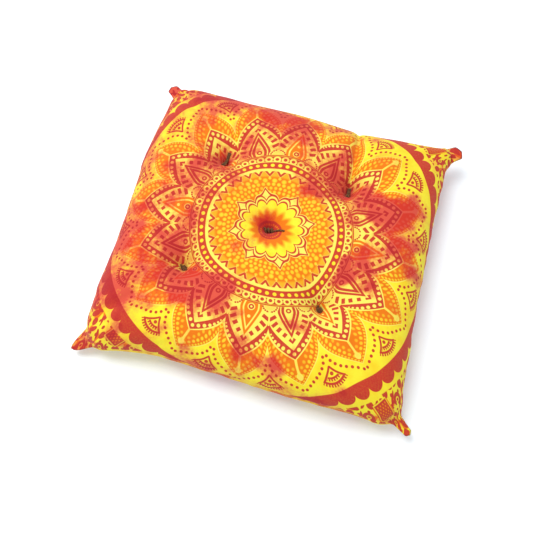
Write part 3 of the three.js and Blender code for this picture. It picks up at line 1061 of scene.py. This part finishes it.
def print_front_petals(inks, r, turn, along, across, gap_along, gap_across):
    """Sixteen petals with dotted borders, blocks and a teardrop, and dotted arches between them."""
    outer = pointed(along, across, *OUTER_PETAL)
    red = outside(pointed(along, across, *INNER_PETAL), 1, 0.025)
    for at_along, at_across, radius in BORDER_DOTS:
        red = without(red, spot(along - at_along, across - at_across, radius))
    red = larger(red, *[brick(along, across, *row) for row in BLOCKS])
    lower = power(larger(TEARDROP[1] - along, 0) * (1 / 14), 2)
    tear = pointed(along, across, *TEARDROP) + lower * 0.3
    outline = line(tear, 0.885, 0.115, 0.05)
    every_other = nearest(triangle(turn * (1 / SECTOR)))
    eye = line(reach_of(along - 109, across), 2.3, 0.95)
    red = without(red, inside(tear, 1.13, 0.06))
    red = larger(red, every_other * larger(outline, line(tear, 0.54, 0.13, 0.05)), eye)
    pips = larger(spot(along - 109, across, 4.4), spot(along - 121, across, 1.9))
    bright = without(inside(tear, 0.62, 0.05), pips)
    orange = without(larger(outline, bright), every_other)
    arch = reach_of(gap_along - ARCH_MIDDLE, gap_across)
    arch_turn = turn_of(gap_across, gap_along - ARCH_MIDDLE)
    stud = spot(arch - 8.3, zigzag(arch_turn, 19) * (8.3 * DEGREE), 1.2)
    red = larger(without(red, inside(arch, 10.4)), stud)
    orange = larger(orange, inside(arch, 6.5) * 0.25)
    petal = inside(outer, 1, 0.02) * outside(r, PETAL_FOOT)
    parting = inside(gap_across, 0.9) * line(r, 119, 9)
    halo = line(outer, 1.045, 0.045, 0.02) * outside(r, TIPS_START)
    inks.add("pale", larger(petal, halo, parting))
    inks.add("orange", petal * orange)
    inks.add("red", without(petal * red, parting))
    return outer


def print_back_petals(inks, r, along, across, outer):
    """Orange petals behind, with pearled edges, a stem and a row of dark dots round them."""
    back = pointed(along, across, *BACK_PETAL)
    petal = inside(back, 1, 0.02) * outside(outer, 1.09, 0.02) * outside(r, TIPS_START)
    rim = line(back, 0.985, 0.03, 0.02) * outside(r, 150)
    depth = back * 24
    round_edge = along * 0.8 - across * 0.6
    pearls = larger(
        spot(depth - 21.4, zigzag(round_edge, 3.6), 1.2),
        spot(depth - 17.0, zigzag(round_edge, 5.6), 1.8, 1.0),
        0.7 * spot(depth - 12.0, zigzag(round_edge, 6.6), 1.7, 1.2) * outside(along, 130),
    )
    stem = larger(inside(across, 1.5) * line(along, 176, 9), spot(along - 186, across, 3.9))
    inks.add("orange", petal * without(without(1 - 0.9 * stem, rim), 0.7 * pearls))
    inks.add("pale", petal * larger(0.8 * stem, rim))
    dots = [spot(along - at_along, across - at_across, DARK_DOT) for at_along, at_across in DARK_DOTS]
    inks.add("red", larger(*dots))


def print_fans(inks, gap_along, gap_across):
    """Small open fans in the gaps between the petals."""
    along = gap_along - FAN_MIDDLE
    reach = reach_of(along, gap_across)
    spread = turn_of(gap_across, along)
    aside = (spread - 0.9 * reach - 27) * (reach * DEGREE)
    fan = larger(line(reach, 18.4, 1.3) * inside(aside, 0.5), line(aside, 0, 1.2) * inside(reach, 19.6))
    fringe = inside(zigzag(spread, 9) * (21 * DEGREE), 1.0) * line(reach, 20.6, 1.7) * inside(spread, 46, 2)
    teeth = inside(zigzag(spread, 12) * (15 * DEGREE), 0.95) * line(reach, 14.6, 1.4)
    heart = larger(teeth, line(reach, 12.7, 1.1)) * inside(aside, -1.5)
    inks.add("red", larger(fan, fringe, heart, spot(along - 8.0, gap_across, 2.1)))


def print_border(inks, r, turn):
    """The wide scalloped ring, with nothing else of the mandala outside it."""
    cup = zigzag(turn, SECTOR / 4) * (1 / 2.85)
    scallops = r - SCALLOP * root(larger(1 - cup * cup, 0))
    past = outside(r, BORDER_START)
    for name in ("pale", "orange", "red"):
        inks.remove(name, past)
    inks.add("red", past * inside(scallops, BORDER_END))


def print_corners(inks, x, y, r):
    """Outside the ring: rows of curls and leaves, with a stippled square in each corner."""
    past = outside(r, CORNER_START, 1)
    from_x = (size(x - CORNER_SHIFT) - CORNER_SQUARE[0]) * math.sqrt(0.5)
    from_y = (size(y) - CORNER_SQUARE[1]) * math.sqrt(0.5)
    p = from_x + from_y
    q = from_x - from_y
    in_square = larger(size(p), size(q))
    flip = 1 - 2 * nearest(triangle(nearest((p + q) * (1 / CORNER_PITCH))))
    across = leaning(p, CORNER_PITCH) * flip
    along = leaning(q, CORNER_PITCH)
    figure = larger(
        without(line(reach_of(across - 2, along - 3), 5.4, 2.2), inside(across, -0.5) * inside(along, 2.5)),
        line(reach_of(across + 2, along + 8), 5.0, 1.9) * outside(across, -3),
        leaf(across + 8.5, along - 6.5),
        leaf(across - 9, along + 6),
        spot(size(across) - 14.5, size(along) - 14.5, 4.6),
        spot(across - 2, along - 3, 1.9),
        spot(across - 9, along - 8, 1.9),
        spot(across + 9.5, along + 5.5, 2.3),
    )
    blobs = larger(spot(across + 4, along - 11, 6.5, 2), spot(across - 6, along + 9, 7.0, 2))
    grain = cosine(p * (2 * math.pi / STIPPLE[0])) * cosine(q * (2 * math.pi / STIPPLE[1]))
    square = inside(in_square, SQUARE_HALF) * past
    frame_line = line(in_square, SQUARE_HALF, 0.9) * past
    away = past * outside(in_square, SQUARE_HALF + 2)
    inks.add("orange", larger(square * 0.9, away * blobs))
    inks.add("red", larger(away * figure, frame_line, square * inside(grain, 0.42, 0.3) * 0.9))


def draw_print(x, y):
    """The strengths of the three printed layers at a place on the cloth, in mm from the middle."""
    r = reach_of(x, y)
    turn = turn_of(y, x)
    inks = Inks()
    edge = print_middle(inks, r, turn)
    print_field(inks, r, turn, edge)
    print_bands(inks, r, turn)
    off_petal = zigzag(turn, SECTOR) * DEGREE
    off_gap = 0.5 * SECTOR * DEGREE - off_petal
    along, across = r * cosine(off_petal), r * sine(off_petal)
    gap_along, gap_across = r * cosine(off_gap), r * sine(off_gap)
    outer = print_front_petals(inks, r, turn, along, across, gap_along, gap_across)
    print_back_petals(inks, r, along, across, outer)
    print_fans(inks, gap_along, gap_across)
    print_border(inks, r, turn)
    print_corners(inks, x, y, r)
    return inks.layers


def as_light(colour):
    """A colour given as a screen shows it, 0 to 255, turned into light."""
    parts = [c / 255 for c in colour]
    return tuple(c / 12.92 if c <= 0.04045 else ((c + 0.055) / 1.055) ** 2.4 for c in parts)


def new_material(name):
    """A new material, whose tree the arithmetic above works in, and its shader."""
    material = bpy.data.materials.new(name)
    material.use_nodes = True
    Num.tree = material.node_tree
    return material, material.node_tree.nodes["Principled BSDF"]


def mixed(first, second, amount):
    """Two colours mixed by a number. Each is a socket or three screen values."""
    node = Num.tree.nodes.new("ShaderNodeMix")
    node.data_type = "RGBA"
    a, b = [s for s in node.inputs if s.type == "RGBA"]
    for socket, value in ((a, first), (b, second)):
        if isinstance(value, tuple):
            socket.default_value = (*as_light(value), 1)
        else:
            Num.tree.links.new(value, socket)
    Num.tree.links.new(amount.socket, node.inputs[0])
    return [s for s in node.outputs if s.type == "RGBA"][0]


def noise(place, bumps, detail):
    """Cloudy noise round 0.5, with this many bumps in a mm."""
    node = Num.tree.nodes.new("ShaderNodeTexNoise")
    node.inputs["Scale"].default_value = bumps
    node.inputs["Detail"].default_value = detail
    Num.tree.links.new(place, node.inputs["Vector"])
    return Num(node.outputs["Fac"])


def scaled(vector, amount):
    """A vector or a colour times a number."""
    node = Num.tree.nodes.new("ShaderNodeVectorMath")
    node.operation = "SCALE"
    node.inputs["Scale"].default_value = amount
    Num.tree.links.new(vector, node.inputs[0])
    return node.outputs[0]


def taken_apart(vector):
    """The first two numbers of a vector."""
    node = Num.tree.nodes.new("ShaderNodeSeparateXYZ")
    Num.tree.links.new(vector, node.inputs[0])
    return Num(node.outputs[0]), Num(node.outputs[1])


def cloth_place():
    """The flat cloth's own coordinates in mm as a vector."""
    stored = Num.tree.nodes.new("ShaderNodeUVMap")
    stored.uv_map = "cloth"
    middle = Num.tree.nodes.new("ShaderNodeVectorMath")
    middle.operation = "SUBTRACT"
    middle.inputs[1].default_value = (0.5, 0.5, 0)
    Num.tree.links.new(stored.outputs[0], middle.inputs[0])
    return scaled(middle.outputs[0], 1 / MM)


def dye_and_shade_amount(flat, rng, under):
    """How much red dye each point of a panel took, 0 to 1, with one patch of painted shade among it: soft
    patches with wandering edges.
    """
    wandering = []
    for places in (flat[..., 0], flat[..., 1]):
        for far, bumps in DYE_WANDER:
            places = places + far * soft_noise(rng, len(flat), bumps)
        wandering.append(places)
    x, y = wandering
    if under:
        x, y = -y, x
    x, y = (x - PRINT_CENTRE[0]) * PRINT_STRETCH[0], (y - PRINT_CENTRE[1]) * PRINT_STRETCH[1]
    dry = 1 - np.clip(DYE_WASH - x / WASH_SLOPES[0] + y / WASH_SLOPES[1], 0, 1)
    if under:
        dry *= UNDER_DRY
    for patch_x, patch_y, radius, strength in DYE_AND_SHADE_PATCHES:
        away = distance(x, y, (patch_x, patch_y)) / (radius * DYE_SPREAD)
        dry *= 1 - DYE_FULL * strength * eased(np.clip(1 - away, 0, 1))
    return 1 - dry


def dye_steps(place):
    """How far the dye warms a colour and how far it turns it red, with blotchy edges."""
    stored = Num.tree.nodes.new("ShaderNodeAttribute")
    stored.attribute_name = "dye"
    spread = BLOTCHING * noise(place, *BLOTCHES) + FLECKING * noise(place, *FLECKS)
    amount = Num(stored.outputs["Fac"]) + spread - 0.5 * (BLOTCHING + FLECKING)
    return [clamped(amount, slope, start) * most for slope, start, most in (WARMING, REDDENING)]


def set_finish(shader, **values):
    """Sets a shader's inputs, named with underscores for spaces."""
    for name, value in values.items():
        shader.inputs[name.replace("_", " ")].default_value = value


def add_relief(shader, height, strength, depth):
    """Fine relief on a surface, from a height of 0 to 1."""
    bump = Num.tree.nodes.new("ShaderNodeBump")
    bump.inputs["Strength"].default_value = strength
    bump.inputs["Distance"].default_value = depth * MM
    Num.tree.links.new(height.socket, bump.inputs["Height"])
    Num.tree.links.new(bump.outputs[0], shader.inputs["Normal"])


def finish_cloth(shader, colour, place):
    """Plain weave over the dyed colour: fine relief, dry surface, a little fuzz."""
    Num.tree.links.new(scaled(colour, REFLECTED), shader.inputs["Base Color"])
    set_finish(shader, Roughness=0.85, Specular_IOR_Level=0.25, Sheen_Weight=0.07, Sheen_Roughness=0.5)
    warp, weft = (cosine(way * (2 * math.pi / THREAD)) for way in taken_apart(place))
    add_relief(shader, warp * weft * 0.5 + noise(place, *SLUBS) * 0.6, 0.35, WEAVE_DEPTH)


def yellow_ground(place):
    """Cotton dyed yellow, a little deeper here and there."""
    return mixed(YELLOW, DEEP_YELLOW, clamped(noise(place, *MOTTLE), 3, -1.3))


def printed_cloth():
    """Yellow cotton with red dye poured over it and a mandala printed on top in two inks."""
    material, shader = new_material("printed_cotton")
    place = cloth_place()
    inks = draw_print(*taken_apart(place))
    ground = mixed(yellow_ground(place), PALE, inks["pale"])
    ground = mixed(ground, ORANGE, inks["orange"])
    warm = mixed(DYED_PEACH, DYED_ORANGE, inks["orange"])
    full = mixed(DYED_PINK, DYED_RED, inks["orange"])
    warmed, reddened = dye_steps(place)
    ground = mixed(mixed(ground, warm, warmed), full, reddened)
    ink = mixed(INK_RED, DYED_INK, reddened)
    worn = clamped(noise(place, *WEAR), 0.24, 0.86)
    finish_cloth(shader, mixed(ground, ink, inks["red"] * worn), place)
    return material


def plain_cloth():
    """The underside: the same dyed cotton without the print."""
    material, shader = new_material("dyed_cotton")
    place = cloth_place()
    warmed, reddened = dye_steps(place)
    colour = mixed(mixed(yellow_ground(place), DYED_PEACH, warmed), DYED_RED, reddened)
    finish_cloth(shader, colour, place)
    return material


def yarn_finish():
    """Dark olive-brown wool: dry, a little hairy, uneven in colour."""
    material, shader = new_material("tuft_wool")
    coordinates = Num.tree.nodes.new("ShaderNodeTexCoord")
    place = scaled(coordinates.outputs["Object"], 1 / MM)
    colour = mixed(YARN_DARK, YARN_LIGHT, clamped(noise(place, *YARN_SHADES), 2.4, -0.8))
    Num.tree.links.new(colour, shader.inputs["Base Color"])
    set_finish(shader, Roughness=0.9, Sheen_Weight=0.05, Sheen_Roughness=0.6)
    add_relief(shader, noise(place, *YARN_HAIR), 0.4, YARN_RELIEF)
    return material


def floor_paint():
    """White studio paper, lit a little from within so that shadows on it stay pale: a painted glow, with
    the paper and the glow tinted cool against the warm light that the cushion bounces onto it.
    """
    material, shader = new_material("floor_paper")
    set_finish(shader, Base_Color=FLOOR_WHITE, Roughness=1.0, Specular_IOR_Level=0.0,
               Emission_Color=FLOOR_LIT, Emission_Strength=FLOOR_GLOW)
    return material


def make_floor():
    """A wide floor under the cushion."""
    corners = FLOOR_HALF / MM * np.array([(-1, -1, 0), (1, -1, 0), (1, 1, 0), (-1, 1, 0)])
    floor = new_object("floor", corners, [(0, 1, 2, 3)])
    floor.data.materials.append(floor_paint())


def make_light():
    """An even white room and one large soft lamp, up on the left."""
    world = bpy.data.worlds.new("world")
    world.use_nodes = True
    background = world.node_tree.nodes["Background"]
    background.inputs["Color"].default_value = (1, 1, 1, 1)
    background.inputs["Strength"].default_value = ROOM_LIGHT
    bpy.context.scene.world = world
    data = bpy.data.lights.new("lamp", "AREA")
    data.energy = LAMP_WATTS
    data.size = LAMP_SIZE
    lamp = bpy.data.objects.new("lamp", data)
    lamp.location = LAMP_PLACE
    lamp.rotation_euler = lamp.location.to_track_quat("Z", "Y").to_euler()
    bpy.context.scene.collection.objects.link(lamp)
    bpy.context.scene.view_settings.view_transform = "Standard"


make_camera()
make_light()
make_floor()
cushion = make_cushion()
cushion.data.materials.append(printed_cloth())
cushion.data.materials.append(plain_cloth())
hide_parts("cushion")
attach(cushion, "root")
make_ties(cushion)
